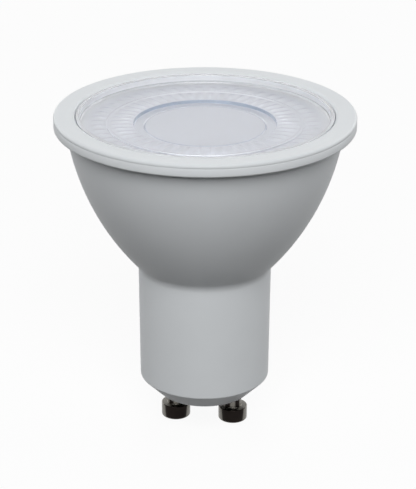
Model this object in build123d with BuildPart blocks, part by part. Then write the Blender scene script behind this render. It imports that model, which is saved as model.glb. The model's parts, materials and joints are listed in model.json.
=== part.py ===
from build123d import *
import os
from math import cos, pi, sin, sqrt

# LED spotlight bulb with a two-pin twist-lock base. Millimetres.
# The lamp axis is Z: z = 0 is the bottom face of the foot, the lens looks up, the pins point down on X.

# Rim and bowl of the housing
rim_diameter = 50.0
lamp_height = 50.2
flange_thickness = 2.25
flange_overhang = 2.0
flange_top_round = 0.5
flange_low_round = 0.4
parting_drop = 0.75
parting_width = 0.25
parting_depth = 0.045
bowl_bulge = 2.15
bowl_wall = 1.6

# Neck and foot of the housing
neck_top_diameter = 22.5
neck_taper = 0.36
neck_length = 23.45
neck_fillet = 2.5
neck_wall = 1.65
foot_chamfer = 3.0
foot_edge_round = 0.4
floor_thickness = 2.2
floor_bevel = 1.2
guide_height = 16.0
guide_width = 1.0
guide_depth = 1.6
guide_gap = 0.15

# Lens and its seat
rim_band = 3.55
recess_edge_round = 0.6
lens_clearance = 0.1
lens_set_back = 0.15
lens_rim_width = 0.65
lens_rim_height = 1.55
lens_rim_round = 0.2
lens_foot_round = 0.3
lens_edge_thickness = 1.4
lens_seat_width = 1.6
lens_wall = 1.5
lens_margin = 1.6
outer_tier_width = 2.7
ridge_width = 0.6
ridge_height = 0.05
inner_tier_width = 3.95
tier_fall = 0.08
tier_step = 0.1
tier_land = 0.3
well_slope_width = 0.1
well_depth = 0.6
well_shelf = 1.5
well_groove_width = 0.3
well_groove_depth = 0.15

# Radial ribs of the lens
rib_count = 50
rib_height = 0.14
rib_fill = 0.78
rib_root = 0.25

# LED board, its LEDs and screws
board_drop = 8.4
led_board_thickness = 1.4
led_board_edge = 0.5
led_outer_count = 7
led_outer_circle = 7.7
led_inner_count = 3
led_inner_circle = 3.1
led_length = 3.5
led_width = 2.8
led_height = 0.8
led_window_diameter = 2.2
led_window_depth = 0.2
screw_wall_gap = 0.65
screw_diameter = 2.0
screw_head_diameter = 3.8
screw_head_height = 1.3
screw_slot_width = 0.5
screw_slot_depth = 0.6
screw_tail = 1.2
screw_clearance = 0.1

# Heat sink cup
cup_clearance = 0.15
cup_wall = 1.4
cup_plate = 1.5
wire_hole_radius = 3.2
cup_seat_rise = 3.0

# Contact pins
pin_spacing = 10.0
pin_head_diameter = 5.0
pin_head_height = 2.5
pin_stem_diameter = 3.0
pin_reach = 5.9
pin_edge_round = 0.35
pin_collar_diameter = 4.4
pin_collar_height = 0.8
pin_tail_diameter = 2.2
pin_tail_height = 2.6
pin_clearance = 0.1

# Driver board and the parts on it
driver_front = 2.4
driver_thickness = 1.0
driver_side_gap = 0.2
driver_corner = 1.8
driver_top_gap = 3.4
capacitor_side = 3.6
inductor_side = 3.9
fuse_share = 0.34
middle_share = 0.56
upper_share = 0.80
capacitor_diameter = 6.4
input_capacitor_length = 8.0
output_capacitor_length = 7.0
capacitor_groove = 0.35
capacitor_bead = 0.7
inductor_diameter = 6.8
inductor_length = 6.0
inductor_flange = 0.9
inductor_core_diameter = 3.0
winding_diameter = 5.8
winding_clearance = 0.1
fuse_diameter = 2.6
fuse_length = 6.4
fuse_waist = 0.2
fuse_lead_diameter = 0.6
fuse_lead_run = 1.4
fuse_lead_bend = 0.8
fuse_gap = 0.2
bridge_size = (4.7, 2.4, 3.9)
controller_size = (3.9, 1.5, 4.9)
diode_size = (2.6, 2.1, 4.3)
package_draft = 7.0
lead_width = 0.5
lead_reach = 0.9
lead_thickness = 0.25
bridge_pitch = 2.5
bridge_lead_count = 2
controller_pitch = 1.27
controller_lead_count = 4
diode_lead_count = 1
chip_size = (1.6, 0.6, 3.2)
chip_side = 4.6
chip_pitch = 4.4

# Hook-up wires
wire_diameter = 1.0
wire_bend = 1.4
wire_rise = 3.6
led_wire_spread = 1.3
led_wire_reach = 1.8
led_wire_margin = 1.2

# Half the height of the slice in which an edge is picked
edge_pick = 0.01

# Heights and radii that follow from the sizes above
rim_radius = rim_diameter / 2
flange_underside = lamp_height - flange_thickness
bowl_top_radius = rim_radius - flange_overhang
neck_top_radius = neck_top_diameter / 2
neck_foot_radius = neck_top_radius - neck_taper / 2
foot_radius = neck_foot_radius - foot_chamfer
bore_radius = neck_foot_radius - neck_wall

recess_radius = rim_radius - rim_band
lens_radius = recess_radius - lens_clearance
lens_top = lamp_height - lens_set_back
lens_face = lens_top - lens_rim_height
lens_seat = lens_face - lens_edge_thickness
throat_radius = recess_radius - lens_seat_width
lens_rim_inside = lens_radius - lens_rim_width
tier_top_radius = lens_rim_inside - lens_margin
ridge_outside = tier_top_radius - outer_tier_width
ridge_inside = ridge_outside - ridge_width
tier_foot_radius = ridge_inside - inner_tier_width
well_radius = tier_foot_radius - well_slope_width
groove_outside = well_radius - well_shelf
groove_inside = groove_outside - well_groove_width

board_seat = lens_face - board_drop - led_board_thickness
plate_underside = board_seat - cup_plate
board_face = board_seat + led_board_thickness
cup_seat = neck_length + cup_seat_rise

# Circle that the bowl's outline follows, from its chord and bulge
chord_run = bowl_top_radius - neck_top_radius
chord_rise = flange_underside - neck_length
chord = sqrt(chord_run**2 + chord_rise**2)
bowl_curve = (chord**2 / 4 + bowl_bulge**2) / (2 * bowl_bulge)
chord_offset = bowl_curve - bowl_bulge
bowl_center_r = (bowl_top_radius + neck_top_radius) / 2 - chord_offset * chord_rise / chord
bowl_center_z = (flange_underside + neck_length) / 2 + chord_offset * chord_run / chord

driver_back = driver_front + driver_thickness
driver_top = plate_underside - driver_top_gap
driver_length = driver_top - floor_thickness
driver_half_width = sqrt((bore_radius - driver_side_gap) ** 2 - driver_back**2)
fuse_height = floor_thickness + fuse_share * driver_length
middle_height = floor_thickness + middle_share * driver_length
upper_height = floor_thickness + upper_share * driver_length


def bowl_radius(height, inset):
    """Radius of the bowl at a height, measured on a surface set in from its outside."""
    return bowl_center_r + sqrt((bowl_curve - inset) ** 2 - (bowl_center_z - height) ** 2)


def bowl_height(radius, inset):
    """Height at which the bowl, set in from its outside, has a radius."""
    return bowl_center_z - sqrt((bowl_curve - inset) ** 2 - (radius - bowl_center_r) ** 2)


def bowl_arc(low, high, inset):
    """Three points of the bowl's curve between two heights, for an arc."""
    middle = (low + high) / 2
    return [(bowl_radius(z, inset), z) for z in (low, middle, high)]


def rings_at(solid, height):
    """Round edges of a solid at a height."""
    rings = solid.edges().filter_by(GeomType.CIRCLE)
    return rings.filter_by_position(Axis.Z, height - edge_pick, height + edge_pick)


led_board_radius = min(throat_radius, bowl_radius(board_seat, bowl_wall)) - led_board_edge
cup_inset = bowl_wall + cup_clearance
screw_end = plate_underside - screw_tail
screw_circle = bowl_radius(screw_end, cup_inset + cup_wall) - screw_wall_gap - screw_diameter / 2

os.makedirs("parts", exist_ok=True)

# Housing: the outside turned in one outline with a fine parting groove round the flange, then hollowed
# from the front
throat_foot = bowl_height(throat_radius, bowl_wall)
parting_height = lamp_height - parting_drop
with BuildPart() as housing:
    with BuildSketch(Plane.XZ):
        with BuildLine():
            Polyline((neck_top_radius, neck_length), (neck_foot_radius, foot_chamfer), (foot_radius, 0),
                     (0, 0), (0, lamp_height), (rim_radius, lamp_height),
                     (rim_radius, parting_height + parting_width / 2),
                     (rim_radius - parting_depth, parting_height),
                     (rim_radius, parting_height - parting_width / 2),
                     (rim_radius, flange_underside), (bowl_top_radius, flange_underside))
            ThreePointArc(*bowl_arc(neck_length, flange_underside, 0))
        make_face()
    revolve(axis=Axis.Z)
    fillet(rings_at(housing, neck_length), neck_fillet)
    fillet(rings_at(housing, lamp_height), flange_top_round)
    fillet(rings_at(housing, flange_underside).sort_by(SortBy.RADIUS)[-1], flange_low_round)
    fillet(rings_at(housing, foot_chamfer), foot_edge_round)
    with BuildSketch(Plane.XZ):
        with BuildLine():
            Polyline((throat_radius, throat_foot), (throat_radius, lens_seat), (recess_radius, lens_seat),
                     (recess_radius, lamp_height), (0, lamp_height), (0, floor_thickness),
                     (bore_radius - floor_bevel, floor_thickness),
                     (bore_radius, floor_thickness + floor_bevel),
                     (bore_radius, cup_seat), (bowl_radius(cup_seat, bowl_wall), cup_seat))
            ThreePointArc(*bowl_arc(cup_seat, throat_foot, bowl_wall))
        make_face()
    revolve(axis=Axis.Z, mode=Mode.SUBTRACT)
    fillet(rings_at(housing, lamp_height).sort_by(SortBy.RADIUS)[0], recess_edge_round)
    with BuildSketch(Plane.XY.offset(floor_thickness)):
        with Locations((0, driver_front - guide_gap - guide_width / 2),
                       (0, driver_back + guide_gap + guide_width / 2)):
            Rectangle(neck_top_diameter, guide_width)
        Rectangle(2 * (bore_radius - guide_depth), neck_top_diameter, mode=Mode.SUBTRACT)
        Circle(bore_radius + neck_wall / 2, mode=Mode.INTERSECT)
    extrude(amount=guide_height)
    with BuildSketch(Plane.XY):
        with GridLocations(pin_spacing, 0, 2, 1):
            Circle(pin_stem_diameter / 2 + pin_clearance)
    extrude(amount=floor_thickness, mode=Mode.SUBTRACT)
housing.part.label = "housing"
export_step(housing.part, "parts/housing.step")


def lens_rib(inner, outer):
    """One radial prism between two points of the lens's section, sunk into it by its root."""
    with BuildPart() as rib:
        for radius, height in (inner, outer):
            half = rib_fill * pi * radius / rib_count
            with BuildSketch(Plane((radius, 0, height), x_dir=(0, 1, 0), z_dir=(1, 0, 0))):
                with BuildLine():
                    Polyline((-half, 0), (-half, -rib_root), (half, -rib_root), (half, 0),
                             (0, rib_height), close=True)
                make_face()
        loft(ruled=True)
    return rib.part


# Lens: a turned dish with a thin rim, two sloping tiers parted by a raised ring and a central well
# with a groove round its floor, then the ribs on each tier
outer_tier_foot = lens_face - tier_fall
inner_tier_top = outer_tier_foot + tier_step
inner_tier_foot = inner_tier_top - tier_fall
well_floor = inner_tier_foot - well_depth


def tier_point(radius, low, high):
    """Point of a tier's slope at a radius, from the slope's two ends."""
    share = (radius - low[0]) / (high[0] - low[0])
    return (radius, low[1] + share * (high[1] - low[1]))


outer_low = (ridge_outside, outer_tier_foot)
outer_high = (tier_top_radius, lens_face)
inner_low = (tier_foot_radius, inner_tier_foot)
inner_high = (ridge_inside, inner_tier_top)
outer_rib = lens_rib(tier_point(ridge_outside + tier_land, outer_low, outer_high),
                     tier_point(tier_top_radius - tier_land, outer_low, outer_high))
inner_rib = lens_rib(tier_point(tier_foot_radius + tier_land, inner_low, inner_high),
                     tier_point(ridge_inside - tier_land, inner_low, inner_high))

with BuildPart() as lens:
    with BuildSketch(Plane.XZ):
        with BuildLine():
            Polyline((ridge_outside, inner_tier_top), outer_low, outer_high, (lens_rim_inside, lens_face),
                     (lens_rim_inside, lens_top), (lens_radius, lens_top), (lens_radius, lens_seat),
                     (throat_radius - lens_clearance, lens_seat),
                     (well_radius, well_floor - lens_wall), (0, well_floor - lens_wall), (0, well_floor),
                     (groove_inside, well_floor),
                     ((groove_inside + groove_outside) / 2, well_floor - well_groove_depth),
                     (groove_outside, well_floor), (well_radius, well_floor), inner_low, inner_high)
            ThreePointArc(inner_high, ((ridge_inside + ridge_outside) / 2, inner_tier_top + ridge_height),
                          (ridge_outside, inner_tier_top))
        make_face()
    revolve(axis=Axis.Z)
    fillet(rings_at(lens, lens_top), lens_rim_round)
    fillet(rings_at(lens, lens_face).sort_by(SortBy.RADIUS)[-1], lens_foot_round)
    with PolarLocations(0, rib_count):
        add(outer_rib)
        add(inner_rib)
lens.part.label = "lens"
export_step(lens.part, "parts/lens.step")

# Heat sink cup: a skirt that follows the bowl's inside, closed by the plate that carries the LED board
with BuildPart() as heat_sink_cup:
    with BuildSketch(Plane.XZ):
        with BuildLine():
            Line((0, cup_seat), (bowl_radius(cup_seat, cup_inset), cup_seat))
            ThreePointArc(*bowl_arc(cup_seat, board_seat, cup_inset))
            Polyline((bowl_radius(board_seat, cup_inset), board_seat), (0, board_seat), (0, cup_seat))
        make_face()
    revolve(axis=Axis.Z)
    with BuildSketch(Plane.XZ):
        with BuildLine():
            Line((0, cup_seat), (bowl_radius(cup_seat, cup_inset + cup_wall), cup_seat))
            ThreePointArc(*bowl_arc(cup_seat, plate_underside, cup_inset + cup_wall))
            Polyline((bowl_radius(plate_underside, cup_inset + cup_wall), plate_underside),
                     (0, plate_underside), (0, cup_seat))
        make_face()
    revolve(axis=Axis.Z, mode=Mode.SUBTRACT)
    with BuildSketch(Plane.XY.offset(plate_underside)):
        Circle(wire_hole_radius)
        with GridLocations(0, 2 * screw_circle, 1, 2):
            Circle(screw_diameter / 2 + screw_clearance)
    extrude(amount=cup_plate, mode=Mode.SUBTRACT)
heat_sink_cup.part.label = "heat_sink_cup"
export_step(heat_sink_cup.part, "parts/heat_sink_cup.step")

# LED board: a round plate on the cup, with its two screw holes
with BuildPart() as led_board:
    with BuildSketch(Plane.XY.offset(board_seat)):
        Circle(led_board_radius)
        with GridLocations(0, 2 * screw_circle, 1, 2):
            Circle(screw_diameter / 2 + screw_clearance, mode=Mode.SUBTRACT)
    extrude(amount=led_board_thickness)
led_board.part.label = "led_board"
export_step(led_board.part, "parts/led_board.step")

# Screws that clamp the LED board to the cup
with BuildPart() as board_screws:
    with BuildSketch(Plane.XY.offset(board_face)):
        with GridLocations(0, 2 * screw_circle, 1, 2):
            Circle(screw_head_diameter / 2)
    extrude(amount=screw_head_height)
    with BuildSketch(Plane.XY.offset(board_face)):
        with GridLocations(0, 2 * screw_circle, 1, 2):
            Circle(screw_diameter / 2)
    extrude(amount=screw_end - board_face)
    with BuildSketch(Plane.XY.offset(board_face + screw_head_height)):
        with GridLocations(0, 2 * screw_circle, 1, 2):
            Rectangle(screw_head_diameter, screw_slot_width)
            Rectangle(screw_slot_width, screw_head_diameter)
    extrude(amount=-screw_slot_depth, mode=Mode.SUBTRACT)
board_screws.part.label = "board_screws"
export_step(board_screws.part, "parts/board_screws.step")

# LEDs: flat packages with a round window, on an outer and an inner circle
led_rings = (("led_outer", led_outer_count, led_outer_circle),
             ("led_inner", led_inner_count, led_inner_circle))
for ring_name, ring_count, ring_radius in led_rings:
    for number in range(ring_count):
        angle = 2 * pi * number / ring_count
        place = Plane((ring_radius * cos(angle), ring_radius * sin(angle), board_face))
        with BuildPart() as led:
            with BuildSketch(place):
                Rectangle(led_length, led_width)
            extrude(amount=led_height)
            with BuildSketch(place.offset(led_height)):
                Circle(led_window_diameter / 2)
            extrude(amount=-led_window_depth, mode=Mode.SUBTRACT)
        led.part.label = f"{ring_name}_{number + 1}"
        export_step(led.part, f"parts/{led.part.label}.step")

# Contact pins: head, stem through the floor, riveted collar and the tail that takes the wire
pin_head_top = pin_head_height - pin_reach
pin_collar_top = floor_thickness + pin_collar_height
pin_tail_top = pin_collar_top + pin_tail_height
pin_head_radius = pin_head_diameter / 2
pin_stem_radius = pin_stem_diameter / 2
pin_collar_radius = pin_collar_diameter / 2
pin_tail_radius = pin_tail_diameter / 2
for pin_name, side in (("contact_pin_left", -1), ("contact_pin_right", 1)):
    pin_foot = (side * pin_spacing / 2, 0, 0)
    with BuildPart() as contact_pin:
        with BuildSketch(Plane(pin_foot, x_dir=(1, 0, 0), z_dir=(0, -1, 0))):
            with BuildLine():
                Polyline((0, -pin_reach), (pin_head_radius, -pin_reach), (pin_head_radius, pin_head_top),
                         (pin_stem_radius, pin_head_top), (pin_stem_radius, floor_thickness),
                         (pin_collar_radius, floor_thickness), (pin_collar_radius, pin_collar_top),
                         (pin_tail_radius, pin_collar_top), (pin_tail_radius, pin_tail_top),
                         (0, pin_tail_top), close=True)
            make_face()
        revolve(axis=Axis(pin_foot, (0, 0, 1)))
        fillet(rings_at(contact_pin, -pin_reach), pin_edge_round)
    contact_pin.part.label = pin_name
    export_step(contact_pin.part, f"parts/{pin_name}.step")

# Driver board: stands on the floor between the housing's guides, its lower corners cut to clear the bevel
with BuildPart() as driver_board:
    with BuildSketch(Plane.XZ.offset(-driver_back)):
        with BuildLine():
            Polyline((-driver_half_width, driver_top), (driver_half_width, driver_top),
                     (driver_half_width, floor_thickness + driver_corner),
                     (driver_half_width - driver_corner, floor_thickness),
                     (driver_corner - driver_half_width, floor_thickness),
                     (-driver_half_width, floor_thickness + driver_corner), close=True)
        make_face()
    extrude(amount=driver_thickness)
driver_board.part.label = "driver_board"
export_step(driver_board.part, "parts/driver_board.step")


def front_place(side, height):
    """Plane through a part's axis on the driver board's front, its local Y pointing back into the board."""
    return Plane((side, driver_front, height), x_dir=(1, 0, 0), z_dir=(0, 0, 1))


def back_place(side, height):
    """Plane on the driver board's back, facing away from it."""
    return Plane((side, driver_back, height), x_dir=(-1, 0, 0), z_dir=(0, 1, 0))


# Electrolytic capacitors: cans with a rolled groove above the bead at the base
can_radius = capacitor_diameter / 2
groove_middle = capacitor_bead + capacitor_groove
groove_end = groove_middle + capacitor_groove
for can_name, can_length, can_height in (("input_capacitor", input_capacitor_length, middle_height),
                                         ("output_capacitor", output_capacitor_length, upper_height)):
    can_place = front_place(-capacitor_side, can_height)
    with BuildPart() as capacitor:
        with BuildSketch(can_place):
            with BuildLine():
                Polyline((0, 0), (can_radius, 0), (can_radius, -capacitor_bead),
                         (can_radius - capacitor_groove, -groove_middle), (can_radius, -groove_end),
                         (can_radius, -can_length), (0, -can_length), close=True)
            make_face()
        revolve(axis=Axis(can_place.origin, (0, 1, 0)))
        fillet(capacitor.edges().filter_by(GeomType.CIRCLE).sort_by(Axis.Y)[0], capacitor_groove)
    capacitor.part.label = can_name
    export_step(capacitor.part, f"parts/{can_name}.step")

# Inductor: a bobbin-shaped core and the copper wound on it
inductor_place = front_place(inductor_side, middle_height)
with BuildPart() as inductor_core:
    with BuildSketch(inductor_place):
        with BuildLine():
            Polyline((0, 0), (inductor_diameter / 2, 0), (inductor_diameter / 2, -inductor_flange),
                     (inductor_core_diameter / 2, -inductor_flange),
                     (inductor_core_diameter / 2, inductor_flange - inductor_length),
                     (inductor_diameter / 2, inductor_flange - inductor_length),
                     (inductor_diameter / 2, -inductor_length), (0, -inductor_length), close=True)
        make_face()
    revolve(axis=Axis(inductor_place.origin, (0, 1, 0)))
inductor_core.part.label = "inductor_core"
export_step(inductor_core.part, "parts/inductor_core.step")

winding_end = inductor_flange + winding_clearance
winding_inside = inductor_core_diameter / 2 + winding_clearance
winding_outside = winding_diameter / 2
with BuildPart() as inductor_winding:
    with BuildSketch(inductor_place):
        with BuildLine():
            Polyline((winding_inside, -winding_end), (winding_outside, -winding_end),
                     (winding_outside, winding_end - inductor_length),
                     (winding_inside, winding_end - inductor_length), close=True)
        make_face()
    revolve(axis=Axis(inductor_place.origin, (0, 1, 0)))
inductor_winding.part.label = "inductor_winding"
export_step(inductor_winding.part, "parts/inductor_winding.step")

# Fuse resistor: a waisted body lying across the board, on two bent leads
fuse_axis = driver_front - fuse_gap - fuse_diameter / 2
fuse_lead = fuse_length / 2 + fuse_lead_run
with BuildPart() as fuse_resistor:
    with BuildSketch(Plane((0, fuse_axis, fuse_height))):
        with BuildLine():
            Polyline((fuse_length / 2, fuse_diameter / 2), (fuse_length / 2, 0), (-fuse_length / 2, 0),
                     (-fuse_length / 2, fuse_diameter / 2))
            ThreePointArc((-fuse_length / 2, fuse_diameter / 2), (0, fuse_diameter / 2 - fuse_waist),
                          (fuse_length / 2, fuse_diameter / 2))
        make_face()
    revolve(axis=Axis((0, fuse_axis, fuse_height), (1, 0, 0)))
    with BuildLine() as fuse_path:
        FilletPolyline((-fuse_lead, driver_front, fuse_height), (-fuse_lead, fuse_axis, fuse_height),
                       (fuse_lead, fuse_axis, fuse_height), (fuse_lead, driver_front, fuse_height),
                       radius=fuse_lead_bend)
    with BuildSketch(Plane((-fuse_lead, driver_front, fuse_height), z_dir=(0, -1, 0))):
        Circle(fuse_lead_diameter / 2)
    sweep(path=fuse_path.line)
fuse_resistor.part.label = "fuse_resistor"
export_step(fuse_resistor.part, "parts/fuse_resistor.step")

# Surface-mount packages on the board's back: a drafted body on flat leads
packages = (("bridge_rectifier", bridge_size, fuse_height, bridge_pitch, bridge_lead_count),
            ("driver_ic", controller_size, middle_height, controller_pitch, controller_lead_count),
            ("freewheel_diode", diode_size, upper_height, diode_size[2], diode_lead_count))
for package_name, (across, depth, along), package_height, lead_pitch, lead_rows in packages:
    package_place = back_place(0, package_height)
    with BuildPart() as package:
        with BuildSketch(package_place):
            Rectangle(across, along)
        extrude(amount=depth, taper=package_draft)
        with BuildSketch(package_place):
            with GridLocations(0, lead_pitch, 1, lead_rows):
                Rectangle(across + 2 * lead_reach, lead_width)
        extrude(amount=lead_thickness)
    package.part.label = package_name
    export_step(package.part, f"parts/{package_name}.step")

# Chip resistors beside the controller
with BuildPart() as chip_resistors:
    with BuildSketch(back_place(0, middle_height)):
        with GridLocations(2 * chip_side, chip_pitch, 2, 2):
            Rectangle(chip_size[0], chip_size[2])
    extrude(amount=chip_size[1])
chip_resistors.part.label = "chip_resistors"
export_step(chip_resistors.part, "parts/chip_resistors.step")

# Mains wires: from the top of each pin's tail up and back to the driver board
for wire_name, side in (("live_wire", -1), ("neutral_wire", 1)):
    wire_foot = (side * pin_spacing / 2, 0, pin_tail_top)
    wire_turn = (side * pin_spacing / 2, 0, pin_tail_top + wire_rise)
    wire_end = (side * pin_spacing / 2, driver_front, pin_tail_top + wire_rise)
    with BuildPart() as mains_wire:
        with BuildLine() as mains_path:
            FilletPolyline(wire_foot, wire_turn, wire_end, radius=wire_bend)
        with BuildSketch(Plane(wire_foot)):
            Circle(wire_diameter / 2)
        sweep(path=mains_path.line)
    mains_wire.part.label = wire_name
    export_step(mains_wire.part, f"parts/{wire_name}.step")

# LED wires: out of the driver board's front and up through the cup's hole to the LED board's underside
led_wire_height = driver_top - led_wire_margin
for wire_name, side in (("led_wire_positive", -1), ("led_wire_negative", 1)):
    wire_foot = (side * led_wire_spread, driver_front, led_wire_height)
    wire_turn = (side * led_wire_spread, driver_front - led_wire_reach, led_wire_height)
    wire_end = (side * led_wire_spread, driver_front - led_wire_reach, board_seat)
    with BuildPart() as led_wire:
        with BuildLine() as led_path:
            FilletPolyline(wire_foot, wire_turn, wire_end, radius=wire_bend)
        with BuildSketch(Plane(wire_foot, z_dir=(0, -1, 0))):
            Circle(wire_diameter / 2)
        sweep(path=led_path.line)
    led_wire.part.label = wire_name
    export_step(led_wire.part, f"parts/{wire_name}.step")
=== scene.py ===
"""Visible pieces of an LED spotlight bulb with a twist-lock base, built on its packed frame.

Lengths are in metres. The lamp axis is Z, the lens looks up, and the two contact pins stand on X.
"""

import json
from functools import partial
from math import atan2, cos, pi, radians, sin, sqrt, tan
from typing import NamedTuple

import bmesh
import bpy
from bpy.props import FloatProperty, FloatVectorProperty, IntProperty, PointerProperty
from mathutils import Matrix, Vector


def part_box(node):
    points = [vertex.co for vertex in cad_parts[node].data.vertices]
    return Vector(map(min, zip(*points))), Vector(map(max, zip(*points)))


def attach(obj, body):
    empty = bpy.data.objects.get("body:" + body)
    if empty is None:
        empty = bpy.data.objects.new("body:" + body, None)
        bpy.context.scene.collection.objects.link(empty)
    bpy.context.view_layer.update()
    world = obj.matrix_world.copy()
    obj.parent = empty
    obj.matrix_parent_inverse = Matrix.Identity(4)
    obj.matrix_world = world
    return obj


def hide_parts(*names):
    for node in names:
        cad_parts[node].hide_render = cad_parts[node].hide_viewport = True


bl_info = {
    "name": "LED spotlight bulb",
    "version": (1, 0, 0),
    "blender": (4, 5, 0),
    "location": "3D View > Sidebar > Spotlight",
    "description": "Builds the housing, ribbed lens, LED plate and contact pins of an LED spotlight bulb",
    "category": "Object",
}

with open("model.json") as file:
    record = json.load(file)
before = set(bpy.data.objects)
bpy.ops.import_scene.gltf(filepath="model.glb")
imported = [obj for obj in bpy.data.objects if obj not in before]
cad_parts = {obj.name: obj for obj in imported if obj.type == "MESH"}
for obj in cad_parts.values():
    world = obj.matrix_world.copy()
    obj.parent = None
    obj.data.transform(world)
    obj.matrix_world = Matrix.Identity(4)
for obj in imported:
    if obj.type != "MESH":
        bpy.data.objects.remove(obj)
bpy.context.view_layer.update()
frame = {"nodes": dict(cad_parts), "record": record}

MM = 0.001
HOUSING_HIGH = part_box("housing")[1]
LENS_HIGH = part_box("lens")[1]
BOARD_LOW, BOARD_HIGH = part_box("led_board")
PIN_LOW, PIN_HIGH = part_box("contact_pin_right")
SCREWS_LOW, SCREWS_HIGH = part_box("board_screws")
LED_LOW, LED_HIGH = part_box("led_outer_1")
INNER_LED_LOW, INNER_LED_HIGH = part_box("led_inner_1")
DRIVER_LOW, DRIVER_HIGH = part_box("driver_board")

# Steps along curves of an outline, and round the smaller turned pieces
ROUND_STEPS = 6
RIM_ROUND_STEPS = 8
RIDGE_STEPS = 10
FILLET_STEPS = 14
BOWL_STEPS = 48
INNER_BOWL_STEPS = 32
SMALL_HOLE_STEPS = 48
HOLE_STEPS = 64
BOARD_STEPS = 160

# A point of an outline nearer to its axis than this lies on it
ON_AXIS = 1e-6 * MM

# Edges that turn by more than this stay sharp
SHARP_ANGLE = radians(32.0)
LENS_SHARP_ANGLE = radians(20.0)

# Colour sockets of a mix node
MIX_FIRST = 6
MIX_SECOND = 7
MIX_RESULT = 2

# Depth of the grain and the turning marks
RELIEF = 0.02 * MM


# Properties, each complete but for its label

def length(description, millimetres):
    """A length, its default given in millimetres."""
    return partial(FloatProperty, description=description, default=millimetres * MM, unit="LENGTH",
                   precision=5)


def angle(description, degrees):
    """An angle, its default given in degrees."""
    return partial(FloatProperty, description=description, default=radians(degrees), subtype="ANGLE")


def amount(description, value, unit="NONE"):
    """A number from nought up, plain or in one of the program's units."""
    return partial(FloatProperty, description=description, default=value, unit=unit, min=0.0)


def fraction(description, value):
    """A share between nothing and all."""
    return partial(FloatProperty, description=description, default=value, subtype="FACTOR", min=0.0, max=1.0)


def count(description, value, least):
    """A whole number with a lower limit."""
    return partial(IntProperty, description=description, default=value, min=least)


def colour(description, rgb):
    """A colour without alpha."""
    return partial(FloatVectorProperty, description=description, default=rgb, size=3, subtype="COLOR",
                   min=0.0, max=1.0)


def labelled(group):
    """Completes a group's properties: each takes its label from its field."""
    for field, unlabelled in group.__annotations__.items():
        group.__annotations__[field] = unlabelled(name=field.replace("_", " ").capitalize())
    return group


@labelled
class HousingSizes(bpy.types.PropertyGroup):
    """Sizes of the white housing"""

    flange_thickness: length("Height of the rim's flange", 2.25)
    flange_overhang: length("How far the flange stands out over the bowl", 2.0)
    flange_top_round: length("Radius of the flange's upper edge", 0.5)
    flange_low_round: length("Radius of the flange's lower edge", 0.4)
    parting_drop: length("Depth of the flange's parting groove under its top", 0.75)
    parting_width: length("Width of the flange's parting groove", 0.25)
    parting_depth: length("Depth of the flange's parting groove", 0.045)
    edge_break: length("Radius of the small moulded edges", 0.12)
    bowl_bulge: length("Rise of the bowl's curve over its chord", 2.15)
    bowl_wall: length("Thickness of the bowl", 1.6)
    neck_top_radius: length("Radius of the neck where the bowl starts", 11.25)
    neck_foot_radius: length("Radius of the neck over the chamfer", 11.07)
    neck_length: length("Height at which the bowl starts", 23.45)
    neck_fillet: length("Radius between the neck and the bowl", 2.5)
    neck_wall: length("Thickness of the neck at its foot", 1.65)
    foot_chamfer: length("Width of the chamfer round the foot", 3.0)
    foot_edge_round: length("Radius of the chamfer's upper edge", 0.4)
    floor_thickness: length("Thickness of the floor that holds the pins", 2.2)
    floor_bevel: length("Bevel between the floor and the bore", 1.2)
    rim_band: length("Width of the rim round the lens", 3.55)
    recess_edge_round: length("Radius of the rim's inner edge", 0.6)
    lens_seat_width: length("Width of the ledge that carries the lens", 1.6)
    cup_seat_rise: length("Height of the ledge for the cup over the neck", 3.0)
    pin_hole_radius: length("Radius of the holes for the pins", 1.6)
    guide_height: length("Height of the driver board's guides", 16.0)
    guide_width: length("Thickness of a guide", 1.0)
    guide_depth: length("How far a guide stands out of the bore", 1.6)
    guide_gap: length("Play between a guide and the driver board", 0.15)
    turn_steps: count("Steps round the axis", 240, 24)


@labelled
class LensSizes(bpy.types.PropertyGroup):
    """Sizes of the ribbed lens"""

    set_back: length("Depth of the lens's rim under the housing's rim", 0.15)
    rim_width: length("Thickness of the lens's upright rim", 0.65)
    rim_height: length("Height of the lens's upright rim over its face", 1.55)
    rim_round: length("Radius of the upright rim's top edges", 0.2)
    foot_round: length("Radius between the upright rim and the face", 0.3)
    frost_height: length("Height of the frosted band down the upright rim's inside", 1.05)
    edge_thickness: length("Thickness of the lens under its face at the edge", 1.4)
    wall: length("Thickness of the ribbed tiers and the well", 1.5)
    margin: length("Flat ring outside the ribs", 1.6)
    outer_tier_width: length("Width of the outer ribbed tier", 2.7)
    ridge_width: length("Width of the raised ring between the tiers", 0.6)
    ridge_height: length("Height of the raised ring over the inner tier", 0.05)
    inner_tier_width: length("Width of the inner ribbed tier", 3.95)
    tier_fall: length("Fall of each tier towards the well", 0.08)
    tier_step: length("Step up from the outer tier to the inner one", 0.1)
    tier_land: length("Plain strip at the ends of the ribs", 0.3)
    well_slope_width: length("Width of the well's steep wall", 0.1)
    well_depth: length("Depth of the well under the inner tier", 0.6)
    well_round: length("Radius at the top and foot of the well's wall", 0.1)
    well_shelf: length("Width of the floor outside its groove", 1.5)
    well_groove_width: length("Width of the groove round the well's floor", 0.3)
    well_groove_depth: length("Depth of the groove round the well's floor", 0.15)
    # Strengths of the painted shade in the groove round the well's floor
    groove_edge_painted_shade: fraction("Deep tint at the groove's inner edge", 0.6)
    groove_floor_painted_shade: fraction("Deep tint at the groove's lowest line", 0.15)
    seat_play: length("Play between the lens and the ledge under it", 0.03)
    rib_height: length("Height of a radial rib", 0.14)
    rib_end: length("Length over which a rib rises at its ends", 0.6)
    rib_count: count("Radial ribs round each tier", 50, 3)
    rib_fill: fraction("Share of the pitch that a rib covers", 0.78)
    rib_steps: count("Steps across one rib", 12, 4)


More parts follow.
